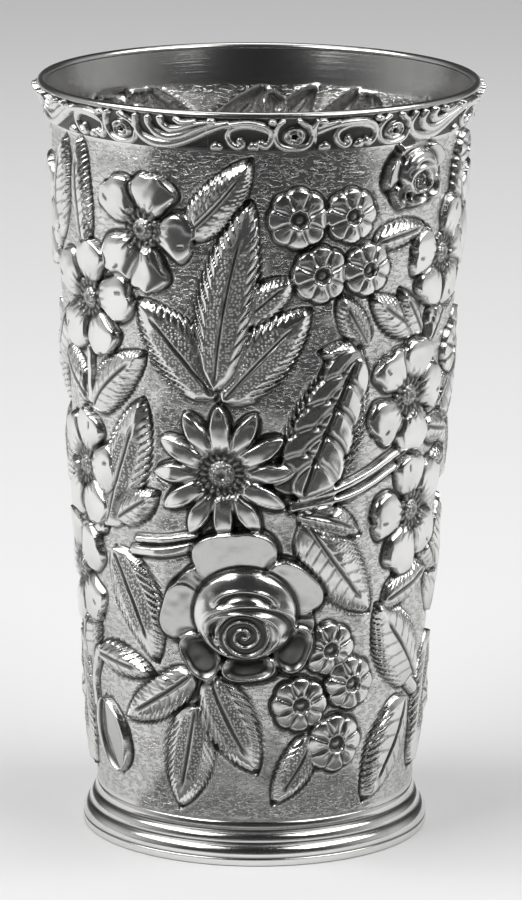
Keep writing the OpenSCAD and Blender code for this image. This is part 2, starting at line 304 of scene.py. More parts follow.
plain_silver = silver_material("plain_silver", 0.22, turning_lines, 0.000012)
disc_marks = [0.35] * (disc_steps + 2) + [0.6] + [0.12] * (disc_steps + 1)
turned_piece("bottom_disc_sheet", disc_outline(), disc_sides, disc_marks,
             plain_silver, "bottom_disc")

# Chased wall
# One tapered sheet of silver, flared at the lip. The flowers and leaves are pushed out from inside
# and chased from outside with punches, so they are the sheet itself. The ground is matted with a punch.

wall_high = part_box("body_wall")[1]
wall_top = wall_high.z / MM
wall_top_radius = wall_high.x / MM
sheet = 0.9
flare_width = 1.4
flare_start = 126.0
wall_columns = 900
wall_row_step = 0.25
chased_low = foot_height - 0.6
lip_plain = 7.0

wall_taper = (wall_top_radius - flare_width - wall_low_radius) / (wall_top - foot_height)


def wall_radius(height):
    """Radius of the plain ground of the wall at a height, in mm."""
    flare = np.maximum(0, height - flare_start) / (wall_top - flare_start)
    return wall_low_radius + wall_taper * (height - foot_height) + flare_width * flare ** 2


row_count = 2 * int(round((wall_top - chased_low) / wall_row_step / 2)) + 1
row_heights = np.linspace(chased_low, wall_top, row_count)
column_step = 360.0 / wall_columns
relief = np.zeros((row_count, wall_columns))
tarnish_and_shade = np.zeros((row_count, wall_columns))
matting = np.ones((row_count, wall_columns))
stipple = np.zeros((row_count, wall_columns))


def smooth(value, low, high):
    """0 below low, 1 above high and a smooth step between."""
    share = np.clip((value - low) / (high - low), 0, 1)
    return share * share * (3 - 2 * share)


def between(value, low, full, fade, gone):
    """A smooth band: up from low to full, down again from fade to gone."""
    return smooth(value, low, full) * (1 - smooth(value, fade, gone))


def ridge(value, middle, width):
    """1 on a line and soft on either side of it."""
    return np.exp(-((value - middle) / width) ** 2)


def window(angle, height, reach):
    """Rows and columns within reach of a place on the wall, with their distances from it in mm."""
    rows = np.nonzero(np.abs(row_heights - height) < reach)[0]
    per_degree = wall_radius(height) * math.pi / 180
    across = int(reach / per_degree / column_step) + 1
    middle = int(round(angle / column_step))
    columns = np.arange(middle - across, middle + across + 1)
    u = (columns * column_step - angle) * per_degree
    v = row_heights[rows] - height
    u, v = np.meshgrid(u, v)
    return np.ix_(rows, columns % wall_columns), u, v


def blurred(field, reach):
    """The field averaged over a square of reach points each way, joined round the wall."""
    total = sum(np.roll(field, shift, axis=1) for shift in range(-reach, reach + 1))
    padded = np.pad(total, ((reach, reach), (0, 0)), mode="edge")
    total = sum(padded[shift:shift + row_count] for shift in range(2 * reach + 1))
    return total / (2 * reach + 1) ** 2


def hand_work(seed, reach):
    """Soft random dents about four times reach points wide, even in strength over the wall."""
    field = np.random.default_rng(seed).standard_normal((row_count, wall_columns))
    for _ in range(3):
        field = blurred(field, reach)
    return field / field.std()


uneven = hand_work(5, 5)


def chase(area, inside, top, dark, shoulder=1.4, dots=0.0):
    """Lays one form over what is there; inside is the distance in from its edge, in mm."""
    cover = smooth(inside, -0.12, 0.3)
    line = ridge(inside, -0.24, 0.31) * (0.8 + 0.2 * np.clip(uneven[area], -1, 1))
    swell = 0.68 + 0.32 * smooth(inside, 0.0, shoulder)
    relief[area] = relief[area] * (1 - cover) + top * swell * cover - 0.3 * line * (1 - cover)
    tarnish_and_shade[area] = np.maximum(tarnish_and_shade[area] * (1 - cover) + dark * cover, line)
    matting[area] = matting[area] * (1 - cover)
    stipple[area] = stipple[area] * (1 - cover) + dots * cover


def cut(area, mark, depth):
    """Cuts a mark into what is there and darkens it."""
    relief[area] = relief[area] - depth * mark
    tarnish_and_shade[area] = np.maximum(tarnish_and_shade[area], mark)


def along_across(u, v, direction):
    """Distances along a direction, in degrees, and to the left of it."""
    turn = math.radians(direction)
    return u * math.cos(turn) + v * math.sin(turn), v * math.cos(turn) - u * math.sin(turn)


def leaf_frame(base, tip, width, bend):
    """Shares along a leaf from base to tip, and distances across its bent axis in mm."""
    middle = ((base[0] + tip[0]) / 2, (base[1] + tip[1]) / 2)
    per_degree = wall_radius(middle[1]) * math.pi / 180
    run = ((tip[0] - base[0]) * per_degree, tip[1] - base[1])
    length = math.hypot(*run)
    area, u, v = window(*middle, length / 2 + width)
    u = u + run[0] / 2
    v = v + run[1] / 2
    s = (u * run[0] + v * run[1]) / length ** 2
    within = np.clip(s, 0, 1)
    t = (v * run[0] - u * run[1]) / length - bend * 4 * within * (1 - within)
    return area, s, within, t, length


def blade_inside(s, t, half, length):
    """Distance in from the edge of a form that is half wide on either side of its axis."""
    past = np.maximum(-s, s - 1) * length
    return np.where((s > 0) & (s < 1), (half - np.abs(t)) * 0.85, -np.hypot(np.maximum(past, 0), t))


def leaf(base, tip, width, bend, teeth, panels, tall=1.45):
    """A pointed leaf, arched across, with a midrib, two dotted panels or veins, and a toothed margin."""
    area, s, within, t, length = leaf_frame(base, tip, width, bend)
    half = width / 2 * within ** 0.55 * (1 - within) ** 0.75 / 0.41
    notch = (within - 1.4 * np.abs(t) / length) * teeth * 1.7
    tooth = notch % 1
    depth = 0.65 + 0.35 * np.sin(7.3 * np.floor(notch) + teeth)
    half = half * (1 - 0.16 * (1 - tooth) * smooth(within, 0.08, 0.25))
    inside = blade_inside(s, t, half, length)
    q = np.clip(np.abs(t) / np.maximum(half, 0.25), 0, 1)
    top = tall * (0.7 + 0.3 * np.sin(math.pi * within)) * (1.18 - 0.42 * q - 0.36 * q ** 2)
    rib = ridge(t, 0, 0.34) * between(s, 0.01, 0.08, 0.72, 0.86)
    cuts = depth * ridge(tooth, 0.12, 0.13) * smooth(q, 0.6, 0.8) * between(s, 0.12, 0.2, 0.86, 0.94)
    slant = ((s - 0.12 * q) * teeth) % 1
    veins = dots = 0 * q
    if panels:
        dots = between(q, 0.1, 0.16, 0.5, 0.58) * between(s, 0.07, 0.12, 0.68, 0.76)
    else:
        veins = ridge(slant, 0.5, 0.1) * between(q, 0.05, 0.15, 0.62, 0.8) * between(s, 0.12, 0.2, 0.78, 0.9)
    serrated = (tooth - 0.5) * smooth(q, 0.55, 0.8) * smooth(s, 0.12, 0.2)
    top = top - 0.45 * rib - 0.1 * cuts - 0.12 * dots - 0.08 * veins + 0.06 * serrated
    dark = np.maximum.reduce([rib, 0.85 * cuts, 0.1 * dots, 0.6 * veins, 0 * q + 0.02])
    chase(area, inside, top, dark, dots=dots)
    spot = np.hypot((s - 0.985) * length / 0.85, t / 0.6)
    cut(area, 1 - smooth(spot, 0.75, 1.15), 0.3)


def lobed_leaf(base, tip, width, bend, lobes):
    """A broad leaf with flat rounded lobes that lie over one another along its midrib; the lobes on one side
    are painted darker as shade.
    """
    leaf(base, tip, width, bend, 2 * lobes, False, 1.5)
    area, s, _, t, length = leaf_frame(base, tip, width, bend)
    size = length / (lobes + 0.8) * 0.78
    for index in range(lobes, 0, -1):
        # Lobes left of the midrib, seen from base to tip, get 0.55 of painted shade where they face the dark
        # ceiling; those on the right stay bright at 0.03.
        for side, reach, dark in ((1, 0.36, 0.55), (-1, 0.3, 0.03)):
            along = (index - 0.25 * (side < 0)) / (lobes + 0.8)
            across = side * reach * width / 2
            x = (s - along) * length + 0.35 * np.abs(t)
            y = t - across * (1 - 0.45 * along)
            inside = (1 - np.hypot(x / size, y / (0.34 * width * (1 - 0.4 * along)))) * size * 0.7
            level = 1.45 + 0.12 * index / lobes - 0.05 * x - 0.12 * np.abs(y)
            chase(area, inside, level, dark, 0.6)
    cut(area, ridge(t, 0, 0.4) * between(s, 0.02, 0.06, 0.85, 0.95), 0.5)


def bud(base, tip, width, bend):
    """A closed bud: a raised rim round a dark hollow, pointed at its end."""
    area, s, within, t, length = leaf_frame(base, tip, width, bend)
    half = width / 2 * within ** 0.6 * (1 - within) ** 0.55 / 0.45
    inside = blade_inside(s, t, half, length)
    hollow_part = smooth(inside, 1.0, 1.4)
    top = 0.9 + 0.35 * ridge(inside, 0.6, 0.4) - 0.45 * hollow_part + 0.2 * np.clip(inside - 1.2, 0, 3)
    chase(area, inside, top, np.maximum(0.35 * hollow_part, 0.9 * ridge(inside, 1.2, 0.3)), 0.5)


def blossom_petal(centre, direction, reach, width, tall, sway, slit):
    """A broad blunt petal that widens from the eye, creased at its root, with one side higher by sway."""
    root = 2.2
    area, u, v = window(*centre, reach + 1)
    x, y = along_across(u, v, direction)
    s = (x - root) / (reach - root)
    s = s + 0.07 * ridge(y / width, -0.8 * sway, 0.13) * smooth(s, 0.5, 1.0)
    within = np.clip(s, 0, 1)
    half = width / 2 * within ** 0.5 * (1 - within ** 4) ** 0.62 / 0.72
    half = half * (1 + 0.07 * np.sin(9 * within + 30 * sway + 2.5 * (y > 0)))
    inside = blade_inside(s, y, half, reach - root)
    across = np.clip(y / np.maximum(half, 0.3), -1, 1)
    crease = sum(ridge((across - share) * half, 0, 0.17) for share in (-0.45, 0.0, 0.45))
    crease = crease * (1 - smooth(s, 0.24, 0.42))
    nick = 0 * u
    if slit is not None:
        nick = ridge((across - slit) * half, 0, 0.24) * between(s, 0.62, 0.68, 0.78, 0.84)
    edge = np.hypot(across, (within - 0.6) / 0.6)
    dome = 1 - np.clip(edge, 0, 1) ** 3.2
    top = 0.75 * tall + 0.7 * dome + 0.15 * within + sway * across - 0.14 * crease - 0.2 * nick
    root_dark = 0.75 * (1 - smooth(s, 0.1, 0.26))
    dark = np.maximum.reduce([0.6 * np.clip(crease, 0, 1), 0.9 * nick, root_dark])
    chase(area, inside, top, dark, 0.75)


def skirt_petal(centre, direction, distance, length, width, tilt, dish):
    """A broad petal, notched at its end and creased at its root; dish hollows it and paints a dark
    reflection into the hollow.
    """
    square = 2.1
    area, u, v = window(*centre, distance + length)
    x, y = along_across(u, v, direction)
    x = x - distance
    half_long = length / 2
    along = np.clip(x / half_long, -1, 1)
    half_wide = width / 2 * (1 + 0.18 * along)
    reach = (np.abs(x / half_long) ** square + np.abs(y / half_wide) ** square) ** (1 / square)
    reach = reach + 0.07 * ridge(y, 0, 0.2 * width) * smooth(along, 0.3, 1)
    inside = (1 - reach) * min(half_long, width / 2) * 0.92
    dome = 1 - np.clip(reach, 0, 1) ** 2
    crease = sum(ridge(y, share * width, 0.16) for share in (-0.24, 0.0, 0.24))
    crease = crease * (1 - smooth(along, -0.75, -0.25))
    hollow_part = dish * smooth(inside, 0.3, 1.3)
    top = 1.1 + tilt * along + 0.12 * dome + 0.08 * ridge(inside, 0.35, 0.25) - 0.14 * crease - hollow_part
    # Every petal is darkened evenly by 0.24; a dished petal adds a painted dark reflection in its hollow, up
    # to 0.8 in all.
    dark = np.maximum(0.6 * np.clip(crease, 0, 1), np.clip(0.24 + 0.9 * hollow_part, 0, 0.8))
    chase(area, inside, top, dark, 0.45)


def eye(centre, radius, tall, stamens):
    """The raised dotted eye of a flower in a dark hollow with stamen lines round it."""
    area, u, v = window(*centre, radius * 3)
    r = np.hypot(u, v)
    rays = 0.5 + 0.5 * np.cos(np.arctan2(v, u) * stamens)
    chase(area, radius * 1.7 - r + 0.5 * rays, tall - 0.65 + 0.2 * rays, 0.6 + 0.35 * (1 - rays))
    boss = np.clip(1 - (r / radius) ** 2, 0, 1)
    pit = np.exp(-(r / (0.42 * radius)) ** 4)
    chase(area, radius - r, tall - 0.25 + 0.5 * boss - 0.5 * pit, 0.75 * pit + 0.08, dots=1 - pit)


def blossom(angle, height, petals):
    """Five broad petals round an eye; each petal is its direction and the distance of its middle."""
    tall = 0.85
    slits = (0.35, None, -0.3, None, 0.25)
    sways = (0.1, -0.16, 0.05, 0.16, -0.08)
    for index, ((direction, distance), slit, sway) in enumerate(zip(petals, slits, sways)):
        blossom_petal((angle, height), direction, distance + 3.7, 8.8, tall + 0.1 * (index % 2), sway, slit)
    eye((angle, height), 1.85, tall + 0.2, 14)


def daisy(angle, height, radius, petals, first):
    """Pointed overlapping petals with raised edges round a raised eye."""
    area, u, v = window(angle, height, radius + 1)
    order = list(range(0, petals, 2)) + list(range(1, petals, 2))
    for place, index in enumerate(order):
        x, y = along_across(u, v, first + 360 * index / petals)
        s = (x - 1.5) / (radius - 1.5)
        within = np.clip(s, 0, 1)
        half = 0.155 * radius * within ** 0.75 * (1 - within) ** 0.6 / 0.4
        inside = blade_inside(s, y, half, radius)
        raised = ridge(inside, 0.35, 0.25) * smooth(s, 0.5, 0.65)
        crease = ridge(y, 0, 0.2) * (1 - smooth(s, 0.25, 0.4))
        crest = np.sin(0.9 * math.pi * within ** (1.1 + 0.15 * math.sin(5 * index)))
        arch = np.clip(y / np.maximum(half, 0.3), -1, 1)
        over = 0.14 if place >= petals // 2 else 0
        top = 0.5 + 1.1 * crest - 0.25 * arch ** 2 + 0.16 * raised - 0.18 * crease + over
        chase(area, inside, top, np.maximum(0.6 * crease, 0.95 * (1 - smooth(s, 0.14, 0.3))), 0.5)
    eye((angle, height), 2.3, 1.05, 18)


def small_flower(angle, height, radius, petals=8):
    """A small round flower of domed petals, with dark grooves between them and a dark pit."""
    area, u, v = window(angle, height, radius + 1.5)
    r = np.hypot(u, v)
    swing = np.abs(np.cos(petals / 2 * np.arctan2(v, u)))
    edge = radius * (0.92 + 0.1 * swing ** 0.7)
    share = r / edge
    groove = ridge(swing, 0, 0.14 + 0.5 * (1 - smooth(share, 0.4, 0.86))) * smooth(share, 0.3, 0.4)
    crease = ridge(swing, 1, 0.012) * between(share, 0.34, 0.4, 0.55, 0.7)
    pit = 1 - smooth(share, 0.22, 0.32)
    boss = ridge(share, 0, 0.16)
    dome = 1 - np.clip(share, 0, 1) ** 2.4
    top = 0.7 + 0.85 * dome - 0.3 * groove - 0.8 * pit + 0.12 * ridge(share, 0.36, 0.07) + 0.3 * boss
    dark = np.maximum.reduce([0.85 * groove, 0.9 * pit - 0.5 * boss, 0.5 * crease])
    chase(area, edge - r, top - 0.08 * crease, dark, 0.4)


def rose(angle, height, size):
    """A full rose: dished outer petals, then a bold dome with cups one inside another and a spiral heart."""
    for direction, distance, length, width, tilt, dish in rose_skirt:
        skirt_petal((angle, height), direction, distance * size, length * size, width * size, tilt, dish)
    lift, across, up = rose_dome
    area, u, v = window(angle, height, (up + lift) * size + 2)
    reach = np.hypot(u / (across * size), (v - lift * size) / (up * size))
    ball = np.sqrt(np.clip(1 - reach ** 2, 0, 1))
    chase(area, (1 - reach) * across * size, 1.0 + 3.0 * ball * size, 0.03, 0.8)
    for over, lift, across, up, floor_level in rose_cups:
        x = u - over * size
        y = v - lift * size
        inside = (1 - np.hypot(x / (across * size), y / (up * size))) * min(across, up) * size
        shown = smooth(y, floor_level * size - 0.5, floor_level * size + 0.5)
        lip = ridge(inside, 0.3, 0.32) * shown
        groove = ridge(inside, 1.05, 0.5) * shown
        relief[area] = relief[area] + (0.3 * lip - 0.6 * groove) * size ** 0.5
        tarnish_and_shade[area] = np.maximum(tarnish_and_shade[area] * (1 - lip), groove)
    r = np.hypot(u, v)
    coil = (r / (1.55 * size) - np.arctan2(v, u) / (2 * math.pi)) % 1
    fold = ridge(coil, 0.5, 0.14)
    heart = smooth(4.3 * size - r, 0, 0.4)
    relief[area] = relief[area] * (1 - heart) + heart * (2.6 * size + 0.5 * fold)
    tarnish_and_shade[area] = np.maximum(tarnish_and_shade[area] * (1 - heart), heart * (1.0 - 0.95 * fold))


def smooth_path(points, steps):
    """Points on a curve through the given places, each with all their numbers blended."""
    places = np.array(points, dtype=float)
    padded = np.concatenate([2 * places[:1] - places[1:2], places, 2 * places[-1:] - places[-2:-1]])
    result = []
    for index in range(len(places) - 1):
        before, first, second, after = padded[index:index + 4]
        for step in range(steps):
            t = step / steps
            result.append(0.5 * (2 * first + (second - before) * t
                                 + (2 * before - 5 * first + 4 * second - after) * t * t
                                 + (3 * first - before - 3 * second + after) * t ** 3))
    result.append(places[-1])
    return np.array(result)


def from_line(u, v, run):
    """Distance from a short straight line, and the share of its run at the nearest point of it."""
    share = np.clip((u * run[0] + v * run[1]) / max(run @ run, 1e-6), 0, 1)
    return np.hypot(u - share * run[0], v - share * run[1]), share


def stem(points, width):
    """A round stem on a curve through a few places on the wall."""
    path = smooth_path(points, 6)
    middle = (path.min(axis=0) + path.max(axis=0)) / 2
    per_degree = wall_radius(middle[1]) * math.pi / 180
    flat = (path - middle) * (per_degree, 1)
    area, u, v = window(*middle, np.abs(flat).max() + width + 1)
    gap = np.full(u.shape, 99.0)
    for first, second in zip(flat, flat[1:]):
        gap = np.minimum(gap, from_line(u - first[0], v - first[1], second - first)[0])
    round_top = np.sqrt(np.clip(1 - (2 * gap / width) ** 2, 0, 1))
    chase(area, width / 2 - gap, 0.75 * (0.4 + 0.6 * round_top), 0.02, 0.4)


# Places on the wall are angles from the front and heights in mm. The same spray goes round twice.
# Each leaf: its base and tip, its width, how far it bends, its teeth, and whether it has dotted panels.
leaves = (
    ((-21, 112.5), (-2, 126.5), 8.0, -0.8, 10, False),
    ((-57.5, 108), (-57, 128), 6.5, 0.5, 9, False),
    ((-74, 108), (-66, 127), 7.0, 0.8, 8, False),
    ((-57, 79.5), (-34.5, 91.3), 8.0, 0.6, 9, False),
    ((-60, 80.5), (-77, 89.5), 7.0, -0.5, 7, False),
    ((-54, 58.5), (-36, 83), 10.5, -0.6, 8, True),
    ((-48, 60.5), (-31.5, 66.5), 6.0, 0.0, 6, False),
    ((-51, 55), (-34.5, 35.5), 10.5, 1.0, 8, True),
    ((-66, 34), (-36, 33), 6.0, 0.6, 5, False),
    ((-20.5, 34.5), (-49.5, 24), 7.5, 0.6, 8, False),
    ((-20, 28.5), (-27, 9.3), 9.5, 0.3, 8, True),
    ((-15, 34.5), (0.8, 16.6), 9.5, -0.6, 7, True),
    ((20, 23), (6.5, 10.8), 6.5, 0.3, 7, True),
    ((61, 27), (42, 9.5), 10.5, 0.5, 7, False),
    ((67, 29.5), (42.5, 45.5), 12.0, 0.5, 8, False),
    ((45, 45.8), (72, 50.5), 6.5, 0.3, 9, False),
    ((15, 62.8), (39, 44.8), 11.0, -0.6, 10, False),
    ((12.5, 63.8), (34, 59.3), 5.5, 0.9, 7, False),
    ((-4, 98), (10, 105.8), 6.5, 0.3, 6, True),
    ((33.5, 93), (23.5, 102.5), 5.5, 0.3, 5, True),
    ((33, 90.5), (18.5, 92.5), 5.0, -0.3, 4, False),
    ((53, 94), (34, 101.5), 6.5, 0.3, 6, False),
    ((55, 93.5), (45, 102), 5.0, 0.2, 5, False),
    ((58, 95), (76, 99), 6.0, 0.3, 7, False),
    ((34, 111), (53, 113), 5.0, 0.2, 6, False),
    ((-12.5, 84.5), (-36, 100.8), 11.0, -0.5, 7, True),
    ((-10, 84.0), (15, 100.3), 10.5, 0.4, 7, True),
    ((-12.5, 86), (-2, 119.3), 10.5, 0.8, 9, True),
    ((86, 95), (78, 78), 7.0, 0.4, 7, False),
    ((80, 76), (96, 62), 8.0, 0.4, 7, True),
    ((74, 74), (96, 91), 8.0, -0.5, 8, False),
    ((80, 40), (88, 60), 8.0, 0.4, 7, False),
    ((84, 36), (72, 12), 9.5, 0.5, 8, True),
    ((90, 35), (101, 11), 9.5, -0.5, 8, True),
    ((78, 100), (72, 124), 7.0, 0.4, 7, False),
    ((62, 79), (79, 84.5), 6.0, 0.4, 7, False),
    ((62, 76), (80, 74), 6.0, -0.3, 7, False),
    ((60, 91), (71, 103), 6.0, 0.4, 7, False),
    ((66, 66), (82, 70), 5.5, 0.4, 6, False),
    ((66, 56), (79, 48), 6.0, -0.4, 7, False),
    ((-63, 57), (-80, 61), 6.0, 0.3, 6, False),
    ((-66, 33), (-80, 38), 6.0, 0.3, 6, False),
    ((-72, 96), (-84, 84), 6.5, 0.4, 7, False),
    ((-70, 60), (-78, 76), 6.0, -0.4, 7, False),
    ((-74, 32), (-66, 44), 6.5, 0.4, 6, False),
)
# Each lobed leaf: its base and tip, its width, how far it bends, and its lobes.
lobed_leaves = (
    ((13.5, 66.3), (31, 93), 14.0, 0.4, 5),
)
# Each stem: the places that it runs through, and its width.
stems = (
    (((11, 65.5), (28, 68.3), (49, 73)), 1.5),
    (((11, 64.8), (30, 66.5), (47, 70.2)), 1.3),
    (((-42, 55.3), (-30, 56), (-19, 57.8)), 2.0),
    (((-40, 57.6), (-30, 58.2), (-19, 59.6)), 1.4),
    (((-57, 58), (-62, 57)), 2.5),
    (((-58, 90), (-59, 81)), 2.0),
    (((-66, 34), (-71, 29), (-70, 24)), 1.8),
    (((64, 29), (70, 27)), 2.5),
)
# Each bud: its base and tip, its width, and how far it bends.
buds = (
    ((-64, 26.0), (-54.5, 13.0), 9.2, 0.5),
)
# Each blossom: its place, then the direction and the distance of each petal.
blossoms = (
    (-33.5, 113.3, ((136, 7.4), (72, 6.8), (-7, 6.4), (-88, 7.6), (-135, 8.0))),
    (-56.5, 99.3, ((152, 8.0), (83, 7.2), (-133, 8.4), (-64, 7.0), (8, 8.0))),
    (51.5, 82.7, ((131, 6.6), (74, 6.8), (7, 6.8), (-77, 6.9), (216, 7.0))),
    (57, 61.5, ((99, 7.0), (36, 7.6), (-43, 6.8), (250, 8.2), (180, 6.8))),
    (-65.5, 68.3, ((140, 7.2), (235, 7.6), (74, 7.4), (-65, 7.4), (6, 6.8))),
    (-76, 48.5, ((180, 7.0), (105, 7.2), (250, 7.2), (37, 8.2), (-42, 7.6))),
    (64, 107, ((57, 6.8), (0, 6.4), (-60, 6.6), (236, 6.2), (171, 6.4))),
    (91, 112, ((60, 7.0), (130, 7.0), (-10, 7.0), (200, 7.0), (-80, 7.0))),
)
# Each small flower: its place and its radius.
small_flowers = (
    (11, 116.2, 5.3), (26.3, 116.3, 4.8), (17.7, 106.3, 5.0), (32, 106.6, 4.7),
    (24.5, 38.8, 4.8), (15, 29, 5.0), (33, 32, 4.8), (28, 21.3, 5.2),
    (87, 24, 4.8), (80, 88, 4.6),
)
# A filler right under the border, past the edge of what the photograph shows of the front.
top_flowers = ((76.5, 124.4, 3.2),)
# Petals round a rose: direction, distance, length, width, tilt, and how deep they are dished, which also
# sets the painted dark reflection in the dish.
rose_skirt = (
    (136, 12.0, 6.0, 7.0, 0.5, 0.2), (97, 13.2, 11.5, 14.5, 0.8, 0.0), (14, 9.6, 5.5, 6.5, 0.4, 0.3),
    (45, 11.4, 8.5, 11.5, 0.7, 0.0), (163, 11.4, 8.0, 11.0, 0.6, 0.0), (210, 8.8, 7.0, 9.5, 0.5, 0.8),
    (-19, 8.6, 7.0, 9.0, 0.5, 0.8), (-84, 6.0, 6.0, 10.0, 0.5, 0.8),
)
# The dome of a rose: its lift over the heart, and half its width and height.
rose_dome = (3.5, 8.9, 8.4)
# Cups in the dome: their place from the heart, half their width and height, and the level they fade below.
rose_cups = (
    (0.2, 5.2, 5.4, 3.5, 0.4), (1.0, 1.2, 8.2, 4.9, -1.6),
    (-0.3, 0.3, 6.4, 4.4, -4.4), (0.0, -0.1, 5.0, 4.4, -4.4),
)
# Each daisy: its place, its radius, its petals, and the direction of the first.
daisies = ((-10.5, 71, 12.4, 12, 2),)
# Each rose: its place and its size.
rose_places = ((-3.5, 42.3, 1.0), (48, 121, 0.5))

for turn in (0, 180):
    for base, tip, width, bend, teeth, panels in leaves:
        leaf((base[0] + turn, base[1]), (tip[0] + turn, tip[1]), width, bend, teeth, panels)
    for base, tip, width, bend, lobes in lobed_leaves:
        lobed_leaf((base[0] + turn, base[1]), (tip[0] + turn, tip[1]), width, bend, lobes)
    for base, tip, width, bend in buds:
        bud((base[0] + turn, base[1]), (tip[0] + turn, tip[1]), width, bend)
    for points, width in stems:
        stem([(angle + turn, height) for angle, height in points], width)
    for angle, height, petals in blossoms:
        blossom(angle + turn, height, petals)
    for angle, height, radius in small_flowers:
        small_flower(angle + turn, height, radius)
    for angle, height, radius in top_flowers:
        small_flower(angle + turn, height, radius, 6)
    for angle, height, radius, petals, first in daisies:
        daisy(angle + turn, height, radius, petals, first)
    for angle, height, size in rose_places:
        rose(angle + turn, height, size)

# Forms right under the border at the back, whose hollow side shows through the mouth.
leaf((203, 113), (178, 127.6), 8.0, 1.2, 7, False)
leaf((196, 116), (214, 127.8), 6.5, -0.6, 7, False)
leaf((168, 113), (150, 127.6), 7.5, 0.8, 8, True)
leaf((176, 116), (163, 127.4), 6.0, -0.5, 6, False)
small_flower(217, 123.8, 3.6, 6)
small_flower(146, 123.2, 3.8, 6)

# The sheet is plain under the border and at the foot. Between them it is uneven from work by hand, with
# soft waves in the ground, and dirt has gathered in its hollows.
ground_wave = 0.21
broad_dent = 0.045
small_dent = 0.022
plain = smooth(row_heights, wall_top - lip_plain, wall_top - lip_plain + 1.2)
plain = np.maximum(plain, 1 - smooth(row_heights, foot_height + 0.3, foot_height + 1.2))[:, None]
dents = broad_dent * uneven + small_dent * hand_work(6, 2)
calm = smooth(row_heights, wall_top - lip_plain, wall_top - lip_plain - 6)
calm = calm * smooth(row_heights, foot_height + 0.5, foot_height + 9)
waves = ground_wave * hand_work(7, 9) * calm[:, None] * (0.25 + 0.75 * blurred(matting, 3))
relief = (relief + dents * (1 - 0.6 * matting) + waves) * (1 - plain)
hollow = blurred(blurred(relief, 4), 4) - relief
shelter = blurred(blurred(relief, 9), 5) - relief
grime = 0.85 * np.clip(hollow - 0.08, 0, 1) + 0.3 * np.clip(shelter - 0.2, 0, 1)
tarnish_and_shade = np.clip(tarnish_and_shade + grime, 0, 1) * (1 - plain)
matting = matting * (1 - plain)
stipple = stipple * (1 - plain)


def flat_map(tree):
    """The wall rolled out flat, in metres."""
    return add_node(tree, "ShaderNodeUVMap", uv_map="wall_mm").outputs["UV"]


def leaf_dots(tree):
    """Distance from the nearest punch dot of a leaf's panel."""
    dots = add_node(tree, "ShaderNodeTexVoronoi", voronoi_dimensions="2D", Scale=1700.0, Randomness=0.75)
    tree.links.new(flat_map(tree), dots.inputs["Vector"])
    return dots.outputs["Distance"]


def punch_marks(tree):
    """Short uneven marks of a matting punch, wider than they are tall."""
    marks = add_node(tree, "ShaderNodeTexNoise", noise_dimensions="2D",
                     Scale=1250.0, Detail=3.0, Distortion=0.5)
    tree.links.new(stretched(tree, flat_map(tree), (0.55, 1.4, 1)), marks.inputs["Vector"])
    return ramp(tree, marks.outputs["Fac"], 0.5, 0.6)


def combine(tree, operation, first, *others):
    """A chain of Math nodes of one kind over all the values."""
    for other in others:
        first = math_node(tree, operation, first, other)
    return first


def chased_height(tree, place):
    """Raised dots on the leaves, a fine matted ground, soft hammer marks, and lathe lines inside the lip."""
    dots = math_node(tree, "MULTIPLY", ramp(tree, leaf_dots(tree), 0.5, 0.1), mask_node(tree, "stipple"))
    grit = math_node(tree, "MULTIPLY", noise(tree, place, 1300.0, 3.0), 0.8)
    grit = math_node(tree, "SUBTRACT", grit, punch_marks(tree))
    ground = combine(tree, "MULTIPLY", grit, mask_node(tree, "matting"), 0.5)
    spun = mask_node(tree, "spun")
    chased = math_node(tree, "SUBTRACT", 1.0, spun)
    lines = combine(tree, "MULTIPLY", turning_lines(tree, place), spun, 0.2)
    scratches = math_node(tree, "MULTIPLY", noise(tree, place, 700.0, 3.0), 0.12)
    hammered = combine(tree, "MULTIPLY", noise(tree, place, 300.0, 1.0), chased, 0.9)
    return combine(tree, "ADD", dots, ground, hammered, lines, scratches)


def chased_tarnish_and_shade(tree, place):
    """Tarnish in the chased lines, between the raised dots and, unevenly, over the matted ground, with the
    painted shade that the mesh's mask carries.
    """
    gaps = ramp(tree, leaf_dots(tree), 0.16, 0.42)
    specks = combine(tree, "MULTIPLY", gaps, mask_node(tree, "stipple"), 0.7)
    patchy = math_node(tree, "MULTIPLY_ADD", noise(tree, place, 420.0, 4.0), 0.5, -0.03)
    patchy = math_node(tree, "MAXIMUM", patchy, math_node(tree, "MULTIPLY", punch_marks(tree), 0.42))
    ground = math_node(tree, "MULTIPLY", patchy, mask_node(tree, "matting"))
    return combine(tree, "MAXIMUM", mask_node(tree, "tarnish_and_shade"), specks, ground)


def chased_satin(tree):
    """How much duller the dotted panels are than the chased metal, and how much brighter the spun lip is."""
    dull = math_node(tree, "MULTIPLY", mask_node(tree, "stipple"), 0.16)
    return math_node(tree, "SUBTRACT", dull, math_node(tree, "MULTIPLY", mask_node(tree, "spun"), 0.07))


def surface_points(heights, radii, degrees):
    """Points in metres for rows of radii at heights, one column for each angle from the front."""
    turn = np.radians(degrees)
    x = radii * np.sin(turn)[None, :] * MM
    y = -radii * np.cos(turn)[None, :] * MM
    z = np.broadcast_to((heights * MM)[:, None], radii.shape)
    return np.stack([x, y, z], axis=-1)


def surface_normals(points):
    """Outward normals of a sheet that is closed round the wall."""
    across = np.roll(points, -1, axis=1) - np.roll(points, 1, axis=1)
    up = np.gradient(points, axis=0)
    normal = np.cross(across, up)
    return normal / np.linalg.norm(normal, axis=-1, keepdims=True)


chased_silver = silver_material("chased_silver", 0.15, chased_height, 0.00008, chased_tarnish_and_shade, chased_satin)
column_angles = np.arange(wall_columns) * column_step
outer_radii = wall_radius(row_heights)[:, None] + relief
outer_points = surface_points(row_heights, outer_radii, column_angles)
outer_normals = surface_normals(outer_points)
